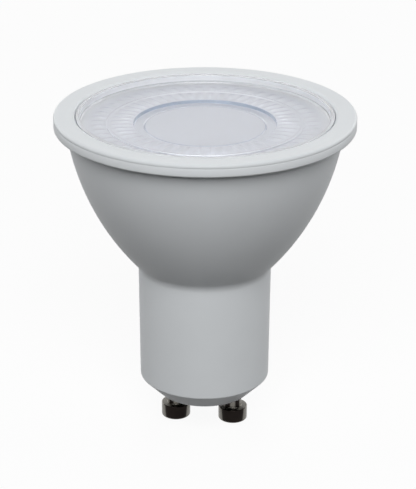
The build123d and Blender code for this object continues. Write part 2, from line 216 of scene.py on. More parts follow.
@labelled
class PinSizes(bpy.types.PropertyGroup):
    """Sizes of the contact pins"""

    head_height: length("Height of the mushroom head", 2.5)
    head_round: length("Radius of the head's lower edge", 0.35)
    head_top_round: length("Radius of the head's upper edge", 0.12)
    stem_radius: length("Radius of the stem", 1.5)
    collar_radius: length("Radius of the riveted collar", 2.2)
    collar_height: length("Height of the riveted collar", 0.8)
    tail_radius: length("Radius of the tail that takes the wire", 1.1)
    edge_break: length("Radius of the small turned edges", 0.08)
    turn_steps: count("Steps round a pin's axis", 96, 12)


@labelled
class PlateSizes(bpy.types.PropertyGroup):
    """Sizes of the LED plate, its LEDs and screws"""

    board_edge: length("Radius of the board's upper edge", 0.15)
    screw_hole_radius: length("Radius of the board's screw holes", 1.1)
    window_radius: length("Radius of an LED's window", 1.1)
    window_taper: fraction("Radius of a window's floor, as a share of its mouth's", 0.9)
    window_depth: length("Depth of an LED's window", 0.2)
    window_crown: fraction("Radius of the resin's crown, as a share of the whole", 0.6)
    package_edge: length("Bevel of an LED's package", 0.12)
    die_side: length("Side of the chip in a window", 0.7)
    die_height: length("Height of the chip in a window", 0.1)
    die_bevel: length("Bevel of the chip's edges", 0.02)
    outer_count: count("LEDs on the outer circle", 7, 1)
    inner_count: count("LEDs on the inner circle", 3, 1)
    screw_radius: length("Radius of a screw's shank", 1.0)
    screw_head_radius: length("Radius of a screw's head", 1.9)
    screw_head_height: length("Height of a screw's head", 1.3)
    screw_head_round: length("Radius of a screw head's upper edge", 0.45)
    slot_width: length("Width of the cross slot", 0.5)
    slot_depth: length("Depth of the cross slot", 0.6)


@labelled
class FinishColours(bpy.types.PropertyGroup):
    """Colours of the finishes"""

    white_plastic: colour("Housing", (0.787, 0.815, 0.835))
    shaded_plastic: colour("Darker mottling of the housing", (0.737, 0.765, 0.785))
    lens_tint: colour("Clear lens", (0.92, 0.94, 1.0))
    # A darker blue that paints shade into the well's wall and groove
    lens_deep: colour("Wall and groove of the lens's well", (0.52, 0.60, 0.72))
    lens_edge: colour("Rim of the lens", (0.96, 0.972, 1.0))
    lens_frost: colour("Frosted band inside the lens's rim", (0.90, 0.92, 0.95))
    # Painted dark reflection of the pins where they face the eye
    nickel_painted_dark_face_on: colour("Contact pins seen square on", (0.008, 0.0065, 0.006))
    mid_nickel: colour("Clouding of the contact pins", (0.02, 0.016, 0.014))
    # Painted bright reflection of the pins at a slant and down the stem's middle
    nickel_painted_bright_reflection: colour("Contact pins seen at a slant", (0.16, 0.152, 0.136))
    board_white: colour("LED board", (0.88, 0.905, 0.97))
    package_white: colour("LED packages", (0.84, 0.84, 0.85))
    window_clear: colour("Cast resin in the LED windows", (0.72, 0.70, 0.70))
    chip_grey: colour("Chips in the LED windows", (0.45, 0.45, 0.47))
    bright_steel: colour("Board screws", (0.60, 0.60, 0.59))
    paper_shade: colour("Darker clouds of the floor", (0.88, 0.88, 0.88))
    paper_white: colour("Paler clouds of the floor", (0.92, 0.92, 0.92))
    sky: colour("Even light from all round", (0.97, 0.98, 1.0))


@labelled
class StageSettings(bpy.types.PropertyGroup):
    """Camera and light"""

    distance: length("Camera to the point that it looks at", 330.0)
    elevation: angle("Camera over the horizon", 22.659)
    azimuth: angle("Camera turned towards the right-hand pin", 7.3)
    roll: angle("Turn of the camera about its own axis", 0.225)
    target_height: length("Height of the point that the camera looks at", 26.605)
    target_side: length("Offset of that point to the camera's right", 0.535)
    sensor_height: amount("Height of the camera's sensor", 36.0, "CAMERA")
    focal_length: amount("Focal length of the camera", 143.52, "CAMERA")
    clip_start: length("Nearest point that the camera shows", 10.0)
    floor_half: length("Half the side of the floor", 6000.0)
    floor_bounce: fraction("Light that the floor sends back up", 0.015)
    floor_shade: fraction("Share of the floor's white that shadows can darken", 0.08)
    sky_strength: amount("Strength of the even light from all round", 0.01)
    lamp_distance: length("From each lamp to the middle of the bulb", 900.0)
    lamp_size: length("Side of each square lamp but the one at the back", 600.0)
    back_lamp_size: length("Side of the square lamp at the back", 300.0)
    front_rise: angle("Height of the front lamp", 40.0)
    front_power: amount("High front lamp", 7.3, "POWER")
    side_turn: angle("Side lamps, from the camera's bearing", 110.0)
    side_rise: angle("Height of the side lamps", 15.0)
    left_power: amount("Lamp at the left, a little behind", 2.1, "POWER")
    right_power: amount("Lamp at the right, a little behind", 2.4, "POWER")
    back_rise: angle("Height of the lamp at the back", 47.5)
    back_power: amount("High lamp at the back", 1.3, "POWER")
    fill_turn: angle("Low lamps behind, from the camera's bearing", 145.0)
    fill_rise: angle("Height of the low lamps behind", 8.0)
    fill_power: amount("Each of the two low lamps behind", 1.5, "POWER")


GROUPS = {
    "lamp_housing": HousingSizes,
    "lamp_lens": LensSizes,
    "lamp_pins": PinSizes,
    "lamp_plate": PlateSizes,
    "lamp_colours": FinishColours,
    "lamp_stage": StageSettings,
}


# Outlines in the (radius, height) plane

def arc(center, radius, start, end, steps):
    """Points of an arc between two angles, both ends included."""
    turns = [start + (end - start) * step / steps for step in range(steps + 1)]
    return [(center[0] + radius * cos(turn), center[1] + radius * sin(turn)) for turn in turns]


def rounded(before, corner, after, radius, steps):
    """A corner between two neighbours, replaced by a tangent arc."""
    corner = Vector(corner)
    to_before = (Vector(before) - corner).normalized()
    to_after = (Vector(after) - corner).normalized()
    half_angle = to_before.angle(to_after) / 2
    center = corner + (to_before + to_after).normalized() * radius / sin(half_angle)
    first = corner + to_before * radius / tan(half_angle) - center
    last = corner + to_after * radius / tan(half_angle) - center
    start = atan2(first.y, first.x)
    sweep = (atan2(last.y, last.x) - start + pi) % (2 * pi) - pi
    return arc(center, radius, start, start + sweep, steps)


def outline(corners, steps=ROUND_STEPS):
    """An open outline: each corner is (radius, height) or (radius, height, round)."""
    points = []
    for number, corner in enumerate(corners):
        if len(corner) == 3 and corner[2] > 0:
            points += rounded(corners[number - 1][:2], corner[:2], corners[number + 1][:2], corner[2], steps)
        else:
            points.append(tuple(corner[:2]))
    return points


# Meshes

def turned(mesh, points, steps, center=(0.0, 0.0)):
    """Turns an outline about an upright axis; returns its rings, a point on the axis being one vertex."""
    rings = []
    for radius, height in points:
        if radius < ON_AXIS:
            rings.append([mesh.verts.new((center[0], center[1], height))])
            continue
        circle = arc(center, radius, 0.0, 2 * pi, steps)[:-1]
        rings.append([mesh.verts.new((*point, height)) for point in circle])
    for low, high in zip(rings, rings[1:]):
        for step in range(steps):
            following = (step + 1) % steps
            corners = [low[step % len(low)], low[following % len(low)],
                       high[following % len(high)], high[step % len(high)]]
            mesh.faces.new(list(dict.fromkeys(corners)))
    return rings


def ring_edges(mesh, ring):
    """Edges round one ring of vertices."""
    pairs = [(ring[number - 1], ring[number]) for number in range(len(ring))]
    return [mesh.edges.get(pair) or mesh.edges.new(pair) for pair in pairs]


def fill_flat(mesh, rings):
    """Fills the flat area between an outer ring and the holes inside it."""
    edges = [edge for ring in rings for edge in ring_edges(mesh, ring)]
    bmesh.ops.triangle_fill(mesh, use_beauty=True, edges=edges)


def pierce(mesh, rings, radius, heights, places, steps):
    """Closes both ends of a turned outline, but for round holes from end to end at the places."""
    holes = [turned(mesh, [(radius, height) for height in heights], steps, place) for place in places]
    for end in (0, -1):
        fill_flat(mesh, [rings[end], *[hole[end] for hole in holes]])


def block(mesh, low, high):
    """A box between two corners; returns its vertices."""
    made = bmesh.ops.create_cube(mesh, size=1.0)["verts"]
    for vertex in made:
        vertex.co = [low[axis] if vertex.co[axis] < 0 else high[axis] for axis in range(3)]
    return made


def finished(name, mesh, *materials):
    """Makes an object of a bmesh, smooth but for its sharp edges."""
    bmesh.ops.recalc_face_normals(mesh, faces=mesh.faces)
    data = bpy.data.meshes.new(name)
    mesh.to_mesh(data)
    mesh.free()
    for material in materials:
        data.materials.append(material)
    data.shade_smooth()
    data.set_sharp_from_angle(angle=SHARP_ANGLE)
    made = bpy.data.objects.new(name, data)
    bpy.context.collection.objects.link(made)
    return made


def baked(made):
    """Turns an object's modifiers into plain mesh and removes them."""
    graph = bpy.context.evaluated_depsgraph_get()
    data = bpy.data.meshes.new_from_object(made.evaluated_get(graph), preserve_all_data_layers=True,
                                           depsgraph=graph)
    made.modifiers.clear()
    made.data = data
    data.name = made.name
    return made


def run_tree(made, tree, **values):
    """Runs a geometry node tree on an object, with its inputs by name, and bakes the result."""
    modifier = made.modifiers.new(tree.name, "NODES")
    modifier.node_group = tree
    names = {item.name: item.identifier for item in tree.interface.items_tree if item.in_out == "INPUT"}
    for name, value in values.items():
        modifier[names[name.replace("_", " ")]] = value
    return baked(made)


def placed(made, slot, *nodes):
    """Hangs a finished piece on the root body, and hides the CAD nodes that are named, in whose place it
    stands.
    """
    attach(made, "root")
    if nodes:
        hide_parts(*nodes)


# Node building blocks; a value can be a plain value or a socket to link

def feed(tree, target, value):
    """Gives an input its value."""
    if isinstance(value, bpy.types.NodeSocket):
        tree.links.new(value, target)
    else:
        target.default_value = value


def add_node(tree, kind, **values):
    """A node in a tree; names of inputs feed sockets, other names set properties."""
    made = tree.nodes.new(kind)
    for name, value in values.items():
        label = name.replace("_", " ")
        if label in made.inputs:
            feed(tree, made.inputs[label], value)
        else:
            setattr(made, name, value)
    return made


def compute(tree, operation, *operands):
    """The result of a math node."""
    made = add_node(tree, "ShaderNodeMath", operation=operation)
    for target, value in zip(made.inputs, operands):
        feed(tree, target, value)
    return made.outputs["Value"]


def blend(tree, share, first, second):
    """The result of a mix of two colours."""
    made = add_node(tree, "ShaderNodeMix", data_type="RGBA", Factor=share)
    feed(tree, made.inputs[MIX_FIRST], first)
    feed(tree, made.inputs[MIX_SECOND], second)
    return made.outputs[MIX_RESULT]


def either(tree, share, first, second):
    """The result of a mix of two shaders."""
    made = add_node(tree, "ShaderNodeMixShader", Fac=share)
    tree.links.new(first, made.inputs[1])
    tree.links.new(second, made.inputs[2])
    return made.outputs["Shader"]


def seen_rays(tree):
    """1 for rays that show the stage, straight, mirrored or through the lens, and 0 for those that light."""
    path = add_node(tree, "ShaderNodeLightPath").outputs
    seen = compute(tree, "MAXIMUM", path["Is Camera Ray"], path["Is Glossy Ray"])
    return compute(tree, "MAXIMUM", seen, path["Is Transmission Ray"])


def new_tree(name, kind, inputs, outputs):
    """A node group; returns its tree, the sockets that it is given and the sockets that it fills."""
    tree = bpy.data.node_groups.new(name, kind)
    for label, socket, *default in inputs:
        made = tree.interface.new_socket(name=label, in_out="INPUT", socket_type=f"NodeSocket{socket}")
        if default:
            made.default_value = default[0]
    for label, socket in outputs:
        tree.interface.new_socket(name=label, in_out="OUTPUT", socket_type=f"NodeSocket{socket}")
    return tree, tree.nodes.new("NodeGroupInput").outputs, tree.nodes.new("NodeGroupOutput").inputs


def opaque(rgb):
    """A colour with full alpha."""
    return (*rgb, 1)


def shaded(rgb, share):
    """A darker tone of a colour."""
    return [share * value for value in rgb]


class Shader:
    """A material under construction."""

    def __init__(self, name):
        self.material = bpy.data.materials.new(name)
        self.material.use_nodes = True
        self.tree = self.material.node_tree
        self.surface = self.tree.nodes["Principled BSDF"]
        self.place = self.node("ShaderNodeTexCoord").outputs["Object"]

    def node(self, kind, **values):
        """A node of the material."""
        return add_node(self.tree, kind, **values)

    def noise(self, scale, **values):
        """Noise in the object's space."""
        return self.node("ShaderNodeTexNoise", Vector=self.place, Scale=scale, **values).outputs["Fac"]

    def spread(self, value, **values):
        """A value mapped to another range."""
        return self.node("ShaderNodeMapRange", Value=value, **values).outputs["Result"]

    def relief(self, height, strength, depth=RELIEF):
        """A bumped normal."""
        bump = self.node("ShaderNodeBump", Height=height, Strength=strength, Distance=depth)
        return bump.outputs["Normal"]

    def set(self, **values):
        """Feeds the surface shader's sockets."""
        for name, value in values.items():
            feed(self.tree, self.surface.inputs[name.replace("_", " ")], value)

    def show(self, source):
        """Makes another shader the material's surface."""
        self.tree.links.new(source, self.tree.nodes["Material Output"].inputs["Surface"])


# Finishes

def moulded_grain():
    """Group: slow mottling of the colour, and a fine grain on the gloss and relief of cast surfaces."""
    found = bpy.data.node_groups.get("moulded_grain")
    if found:
        return found
    inputs = [("Place", "Vector"), ("Light", "Color"), ("Dark", "Color"), ("Mottle Scale", "Float", 90.0),
              ("Grain Scale", "Float", 3200.0), ("Smooth", "Float", 0.4), ("Rough", "Float", 0.5)]
    outputs = [("Color", "Color"), ("Roughness", "Float"), ("Height", "Float")]
    tree, given, filled = new_tree("moulded_grain", "ShaderNodeTree", inputs, outputs)
    mottle, grain = [
        add_node(tree, "ShaderNodeTexNoise", Vector=given["Place"], Scale=given[scale], Detail=detail,
                 Roughness=roughness).outputs["Fac"]
        for scale, detail, roughness in (("Mottle Scale", 4.0, 0.55), ("Grain Scale", 2.0, 0.6))
    ]
    gloss = add_node(tree, "ShaderNodeMapRange", Value=grain, To_Min=given["Smooth"], To_Max=given["Rough"])
    tree.links.new(blend(tree, mottle, given["Dark"], given["Light"]), filled["Color"])
    tree.links.new(gloss.outputs["Result"], filled["Roughness"])
    tree.links.new(grain, filled["Height"])
    return tree


def grained(name, light, dark, smooth, rough, bump=0.05):
    """A material with the moulded grain on its colour, gloss and relief."""
    shader = Shader(name)
    grain = shader.node("ShaderNodeGroup", node_tree=moulded_grain(), Place=shader.place,
                        Light=opaque(light), Dark=opaque(dark), Smooth=smooth, Rough=rough).outputs
    shader.set(Base_Color=grain["Color"], Roughness=grain["Roughness"],
               Normal=shader.relief(grain["Height"], bump))
    return shader


def white_plastic(colours):
    """Satin white moulded plastic."""
    shader = grained("satin_white_plastic", colours.white_plastic, colours.shaded_plastic, smooth=0.42,
                     rough=0.54)
    shader.set(IOR=1.38)
    return shader.material


def lens_plastic(name, smooth, rough, clear):
    """The start of a lens plastic: a slow haze on its gloss, and how clear it is."""
    shader = Shader(name)
    gloss = shader.spread(shader.noise(260.0, Detail=3.0), To_Min=smooth, To_Max=rough)
    shader.set(Roughness=gloss, IOR=1.49, Transmission_Weight=clear)
    return shader


def frosted_plastic(colours):
    """The lens's plastic where its mould is etched."""
    shader = lens_plastic("frosted_lens_band", smooth=0.3, rough=0.4, clear=0.2)
    shader.set(Base_Color=opaque(colours.lens_frost))
    return shader.material


def clear_plastic(colours):
    """The lens's clear plastic, tinted by the mesh's marks for its edge, with painted shade in the well's
    wall and groove.
    """
    shader = lens_plastic("clear_lens_plastic", smooth=0.05, rough=0.11, clear=0.55)
    tone = opaque(colours.lens_tint)
    # The second mark paints shade into the well's wall and groove with the darker blue
    for mark, tint in (("edge_share", colours.lens_edge), ("deep_share", colours.lens_deep)):
        share = shader.node("ShaderNodeAttribute", attribute_name=mark).outputs["Fac"]
        tone = blend(shader.tree, share, tone, opaque(tint))
    shader.set(Base_Color=tone)
    return shader.material


def nickel_painted_dark_face_on(colours, head_top):
    """Nickel plate over turned metal with fine turning marks; its colour is painted dark where it faces the
    eye and painted bright at a slant and down the middle of the stem, as painted reflections."""
    shader = Shader("dark_nickel_plate")
    tree = shader.tree
    marks = shader.node("ShaderNodeTexWave", wave_type="BANDS", bands_direction="Z", Vector=shader.place,
                        Scale=1400.0, Distortion=2.0, Detail=3.0, Detail_Scale=2.0)
    cloud = shader.noise(420.0, Detail=5.0)
    finish = {"Metallic": 1.0, "Roughness": shader.spread(cloud, To_Min=0.18, To_Max=0.34),
              "Normal": shader.relief(marks.outputs["Fac"], 0.12)}
    # Painted dark reflection: the face-on colour, clouded at random
    tone = blend(tree, cloud, opaque(colours.nickel_painted_dark_face_on), opaque(colours.mid_nickel))
    shader.set(Base_Color=tone, **finish)
    # Painted bright reflection: the same finish in a brighter colour
    painted_bright_reflection = shader.node("ShaderNodeBsdfPrincipled", Base_Color=opaque(colours.nickel_painted_bright_reflection), **finish)

    # Where the bright colour is painted: a band at a slant, and a painted highlight streak down the middle
    # of the stem above the head
    slant = shader.node("ShaderNodeLayerWeight", Blend=0.5).outputs["Facing"]
    side = shader.spread(slant, interpolation_type="SMOOTHSTEP", From_Min=0.36, From_Max=0.46)
    middle = shader.spread(slant, interpolation_type="SMOOTHSTEP", From_Min=0.15, From_Max=0.1)
    height = shader.node("ShaderNodeSeparateXYZ", Vector=shader.place).outputs["Z"]
    painted_stem_highlight = compute(tree, "MULTIPLY", compute(tree, "GREATER_THAN", height, head_top), middle)
    share = compute(tree, "MAXIMUM", side, painted_stem_highlight)
    shader.show(either(tree, share, shader.surface.outputs["BSDF"], painted_bright_reflection.outputs["BSDF"]))
    return shader.material


def metal(name, base, smooth, rough):
    """Bare metal with a fine grain on its gloss."""
    shader = grained(name, base, shaded(base, 0.9), smooth, rough, bump=0.08)
    shader.set(Metallic=1.0)
    return shader.material


def copper_winding(base):
    """Enamelled copper wire laid in close turns."""
    shader = grained("copper_winding", base, shaded(base, 0.8), smooth=0.22, rough=0.36)
    turns = shader.node("ShaderNodeTexWave", wave_type="BANDS", bands_direction="Y", Vector=shader.place,
                        Scale=1000.0)
    shader.set(Metallic=1.0, Normal=shader.relief(turns.outputs["Fac"], 0.6, depth=0.1 * MM))
    return shader.material


# Pieces

def bowl_circle(sizes, rim_radius, lamp_height):
    """Centre and radius of the bowl's outline, from its chord and bulge."""
    top = Vector((rim_radius - sizes.flange_overhang, lamp_height - sizes.flange_thickness))
    foot = Vector((sizes.neck_top_radius, sizes.neck_length))
    chord = top - foot
    radius = (chord.length ** 2 / 4 + sizes.bowl_bulge ** 2) / (2 * sizes.bowl_bulge)
    inward = Vector((-chord.y, chord.x)).normalized()
    return (top + foot) / 2 + inward * (radius - sizes.bowl_bulge), radius


def bowl_points(center, radius, low, high, steps):
    """The circle's outer side between two heights."""
    start, end = [atan2(rise, sqrt(radius ** 2 - rise ** 2)) for rise in (low - center.y, high - center.y)]
    return arc(center, radius, start, end, steps)


def neck_fillet_points(sizes, center, radius):
    """The fillet between the neck's line and the bowl's circle, from the neck up."""
    foot = Vector((sizes.neck_foot_radius, sizes.foot_chamfer))
    along = (Vector((sizes.neck_top_radius, sizes.neck_length)) - foot).normalized()
    outward = Vector((along.y, -along.x))
    start = foot + outward * sizes.neck_fillet - center
    middle = start.dot(along)
    reach = radius + sizes.neck_fillet
    half_chord = sqrt(middle ** 2 - start.length_squared + reach ** 2)
    travel = half_chord - middle
    if start.y + travel * along.y > 0:
        travel = -half_chord - middle
    pivot = center + start + along * travel
    to_bowl = (center - pivot).normalized()
    first = atan2(-outward.y, -outward.x) % (2 * pi)
    last = atan2(to_bowl.y, to_bowl.x) % (2 * pi)
    return arc(pivot, sizes.neck_fillet, first, last, FILLET_STEPS)


class LAMP_OT_housing(bpy.types.Operator):
    """Turn the white housing and open its pin holes"""

    bl_idname = "lamp.housing"
    bl_label = "Housing"

    def execute(self, context):
        sizes = context.scene.lamp_housing
        bore = sizes.neck_foot_radius - sizes.neck_wall
        mesh = bmesh.new()
        rings = turned(mesh, self.section(sizes, context.scene.lamp_lens, bore), sizes.turn_steps)
        pin_place = (PIN_LOW.x + PIN_HIGH.x) / 2
        pierce(mesh, rings, sizes.pin_hole_radius, (0.0, sizes.floor_thickness),
               ((-pin_place, 0.0), (pin_place, 0.0)), HOLE_STEPS)
        self.guides(mesh, sizes, bore)
        made = finished("housing_shell", mesh, white_plastic(context.scene.lamp_colours))
        placed(made, "white_plastic", "housing")
        return {"FINISHED"}

    def section(self, sizes, lens, bore):
        """Points of the section from the foot's face up the outside and down the inside to the floor."""
        rim_radius = HOUSING_HIGH.x
        lamp_height = HOUSING_HIGH.z
        center, bulge = bowl_circle(sizes, rim_radius, lamp_height)
        underside = lamp_height - sizes.flange_thickness
        parting = lamp_height - sizes.parting_drop
        recess = rim_radius - sizes.rim_band
        throat = recess - sizes.lens_seat_width
        seat = lamp_height - lens.set_back - lens.rim_height - lens.edge_thickness - lens.seat_play
        cup_seat = sizes.neck_length + sizes.cup_seat_rise
        floor_top = sizes.floor_thickness
        foot_radius = sizes.neck_foot_radius - sizes.foot_chamfer
        inner_curve = bulge - sizes.bowl_wall
        throat_foot = center.y - sqrt(inner_curve ** 2 - (throat - center.x) ** 2)
        fillet = neck_fillet_points(sizes, center, bulge)
        points = outline([
            (foot_radius - sizes.edge_break, 0.0),
            (foot_radius, 0.0, sizes.edge_break),
            (sizes.neck_foot_radius, sizes.foot_chamfer, sizes.foot_edge_round),
            fillet[0],
        ])
        points += fillet[1:]
        points += bowl_points(center, bulge, fillet[-1][1], underside, BOWL_STEPS)[1:]
        points += outline([
            (rim_radius - sizes.flange_overhang, underside),
            (rim_radius, underside, sizes.flange_low_round),
            (rim_radius, parting - sizes.parting_width / 2),
            (rim_radius - sizes.parting_depth, parting),
            (rim_radius, parting + sizes.parting_width / 2),
            (rim_radius, lamp_height, sizes.flange_top_round),
            (recess, lamp_height, sizes.recess_edge_round),
            (recess, seat),
            (throat, seat),
            (throat, throat_foot),
        ], RIM_ROUND_STEPS)[1:]
        points += bowl_points(center, inner_curve, cup_seat, throat_foot, INNER_BOWL_STEPS)[-2::-1]
        points += [(bore, cup_seat), (bore, floor_top + sizes.floor_bevel),
                   (bore - sizes.floor_bevel, floor_top)]
        return points

    def guides(self, mesh, sizes, bore):
        """Upright guides at both edges of the driver board, on its front and its back."""
        front = DRIVER_LOW.y - sizes.guide_gap
        back = DRIVER_HIGH.y + sizes.guide_gap
        low_end = sizes.floor_thickness
        high_end = low_end + sizes.guide_height
        for side in (-1, 1):
            for low, high in ((front - sizes.guide_width, front), (back, back + sizes.guide_width)):
                inside = side * (bore - sizes.guide_depth)
                outside = side * sqrt((bore + sizes.neck_wall / 2) ** 2 - max(abs(low), abs(high)) ** 2)
                block(mesh, (min(inside, outside), low, low_end), (max(inside, outside), high, high_end))


class Station(NamedTuple):
    """One point of the lens's section, with its shares of the ribs, the painted shade and the edge's tint.
    """

    radius: float
    height: float
    rib: float = 0.0
    deep: float = 0.0
    edge: float = 0.0


def lens_outline(sizes, seat_width):
    """Stations of the lens's section from the middle of its face round to the middle of its back."""
    radius = LENS_HIGH.x
    top = LENS_HIGH.z
    face = top - sizes.rim_height
    seat = face - sizes.edge_thickness
    rim_inside = radius - sizes.rim_width
    tier_top = rim_inside - sizes.margin
    ridge_outside = tier_top - sizes.outer_tier_width
    ridge_inside = ridge_outside - sizes.ridge_width
    tier_foot = ridge_inside - sizes.inner_tier_width
    well = tier_foot - sizes.well_slope_width
    groove_outside = well - sizes.well_shelf
    groove_inside = groove_outside - sizes.well_groove_width
    groove_middle = (groove_inside + groove_outside) / 2
    outer_foot = face - sizes.tier_fall
    inner_top = outer_foot + sizes.tier_step
    inner_foot = inner_top - sizes.tier_fall
    well_floor = inner_foot - sizes.well_depth
    # Keeps the painted shade off the flats beside the well's rounds
    clear = 1.5 * sizes.well_round

    stations = [
        Station(0.0, well_floor),
        Station(groove_inside - sizes.well_groove_width / 2, well_floor),
        # The groove's inner edge and its lowest line take painted shade
        Station(groove_inside, well_floor, deep=sizes.groove_edge_painted_shade),
        Station(groove_middle, well_floor - sizes.well_groove_depth, deep=sizes.groove_floor_painted_shade),
        Station(groove_outside, well_floor),
        Station(well - clear, well_floor),
    ]
    well_wall = outline([(groove_outside, well_floor), (well, well_floor, sizes.well_round),
                         (tier_foot, inner_foot, sizes.well_round), (ridge_inside, inner_top)])[1:-1]
    # The well's wall takes painted shade, strongest midway between its rounds
    for number, point in enumerate(well_wall):
        from_end = min(number, len(well_wall) - 1 - number)
        stations.append(Station(*point, deep=from_end / ROUND_STEPS))
    stations.append(Station(tier_foot + clear, inner_foot))
    stations += ribbed(sizes, (tier_foot, inner_foot), (ridge_inside, inner_top))
    half = sizes.ridge_width / 2
    ridge_curve = (half ** 2 + sizes.ridge_height ** 2) / (2 * sizes.ridge_height)
    crown = ((ridge_inside + ridge_outside) / 2, inner_top + sizes.ridge_height - ridge_curve)
    lean = atan2(inner_top - crown[1], half)
    stations += [Station(*point) for point in arc(crown, ridge_curve, pi - lean, lean, RIDGE_STEPS)]
    stations.append(Station(ridge_outside, outer_foot))
    stations += ribbed(sizes, (ridge_outside, outer_foot), (tier_top, face))
    stations.append(Station(tier_top, face))
    rim = outline([(tier_top, face), (rim_inside, face, sizes.foot_round),
                   (rim_inside, top - sizes.frost_height), (rim_inside, top, sizes.rim_round),
                   (radius, top, sizes.rim_round), (radius, seat), (radius - seat_width, seat)])
    stations += [Station(*point, edge=1.0) for point in rim[1:]]
    stations += [Station(well, well_floor - sizes.wall), Station(0.0, well_floor - sizes.wall)]
    return stations


def ribbed(sizes, low, high):
    """Stations of a tier, its ribs rising at both ends."""
    width = high[0] - low[0]
    full = sizes.tier_land + sizes.rib_end
    rise = [(sizes.tier_land, 0.0), (full, 1.0), (width - full, 1.0), (width - sizes.tier_land, 0.0)]
    slope = (high[1] - low[1]) / width
    return [Station(low[0] + run, low[1] + slope * run, rib=share) for run, share in rise]


def geometry_tree(name, inputs):
    """A geometry node group that takes a material besides its own inputs."""
    return new_tree(name, "GeometryNodeTree", [("Geometry", "Geometry"), *inputs, ("Material", "Material")],
                    [("Geometry", "Geometry")])


def close_tree(tree, given, filled, geometry):
    """Ends a geometry node group: real geometry in the given material."""
    real = add_node(tree, "GeometryNodeRealizeInstances", Geometry=geometry)
    paint = add_node(tree, "GeometryNodeSetMaterial", Geometry=real.outputs["Geometry"],
                     Material=given["Material"])
    tree.links.new(paint.outputs["Geometry"], filled["Geometry"])
    return tree


def rib_tree():
    """Geometry nodes that raise radial ribs on a turned lens, where its rib share allows."""
    tree, given, filled = geometry_tree("lens_ribs", [("Rib Count", "Int"), ("Rib Height", "Float"),
                                                      ("Rib Fill", "Float")])
    place = add_node(tree, "GeometryNodeInputPosition").outputs["Position"]
    parts = add_node(tree, "ShaderNodeSeparateXYZ", Vector=place).outputs
    turn = compute(tree, "ARCTAN2", parts["Y"], parts["X"])
    pitch = compute(tree, "DIVIDE", compute(tree, "MULTIPLY", turn, given["Rib Count"]), 2 * pi)
    phase = compute(tree, "FRACT", compute(tree, "ADD", pitch, 0.5))
    across = compute(tree, "ABSOLUTE", compute(tree, "SUBTRACT", phase, 0.5))
    slope = compute(tree, "DIVIDE", across, compute(tree, "MULTIPLY", given["Rib Fill"], 0.5))
    crest = compute(tree, "MAXIMUM", compute(tree, "SUBTRACT", 1.0, slope), 0.0)
    share = add_node(tree, "GeometryNodeInputNamedAttribute", data_type="FLOAT", Name="rib_share")
    full = compute(tree, "MULTIPLY", crest, given["Rib Height"])
    lift = compute(tree, "MULTIPLY", full, share.outputs["Attribute"])
    offset = add_node(tree, "ShaderNodeCombineXYZ", Z=lift).outputs["Vector"]
    move = add_node(tree, "GeometryNodeSetPosition", Geometry=given["Geometry"], Offset=offset)
    return close_tree(tree, given, filled, move.outputs["Geometry"])


def ring_tree():
    """Geometry nodes that stand copies of an object on a circle round the lamp axis."""
    tree, given, filled = geometry_tree("copies_on_circle", [("Source", "Object"), ("Count", "Int"),
                                                             ("Circle", "Float"), ("Start", "Float")])
    number = add_node(tree, "GeometryNodeInputIndex").outputs["Index"]
    step = compute(tree, "DIVIDE", 2 * pi, given["Count"])
    turn = compute(tree, "ADD", compute(tree, "MULTIPLY", number, step), given["Start"])
    x, y = [compute(tree, "MULTIPLY", compute(tree, wave, turn), given["Circle"])
            for wave in ("COSINE", "SINE")]
    place = add_node(tree, "ShaderNodeCombineXYZ", X=x, Y=y).outputs["Vector"]
    points = add_node(tree, "GeometryNodePoints", Count=given["Count"], Position=place).outputs["Points"]
    source = add_node(tree, "GeometryNodeObjectInfo", Object=given["Source"]).outputs["Geometry"]
    copies = add_node(tree, "GeometryNodeInstanceOnPoints", Points=points, Instance=source)
    return close_tree(tree, given, filled, copies.outputs["Instances"])


class LAMP_OT_lens(bpy.types.Operator):
    """Turn the lens and raise its ribs"""

    bl_idname = "lamp.lens"
    bl_label = "Ribbed lens"

    def execute(self, context):
        sizes = context.scene.lamp_lens
        colours = context.scene.lamp_colours
        stations = lens_outline(sizes, context.scene.lamp_housing.lens_seat_width)
        mesh = bmesh.new()
        # Vertex marks for the ribs, the painted shade and the rim's tint
        layers = [mesh.verts.layers.float.new(f"{share}_share") for share in ("rib", "deep", "edge")]
        rings = turned(mesh, [station[:2] for station in stations], sizes.rib_count * sizes.rib_steps)
        for ring, station in zip(rings, stations):
            for vertex in ring:
                for layer, share in zip(layers, station[2:]):
                    vertex[layer] = share
        material = clear_plastic(colours)
        made = finished("lens_front", mesh, material)
        run_tree(made, rib_tree(), Rib_Count=sizes.rib_count, Rib_Height=sizes.rib_height,
                 Rib_Fill=sizes.rib_fill, Material=material)
        made.data.shade_smooth()
        made.data.set_sharp_from_angle(angle=LENS_SHARP_ANGLE)
        self.frost(made.data, sizes, colours)
        placed(made, "clear_plastic", "lens")
        return {"FINISHED"}

    def frost(self, data, sizes, colours):
        """Gives the upper inside of the rim its frosted band."""
        data.materials.append(frosted_plastic(colours))
        wall_radius = LENS_HIGH.x - sizes.rim_width
        frost_foot = LENS_HIGH.z - sizes.frost_height
        near = 0.01 * MM
        for face in data.polygons:
            on_wall = abs(face.center.to_2d().length - wall_radius) < near
            face.material_index = int(on_wall and face.center.z > frost_foot)


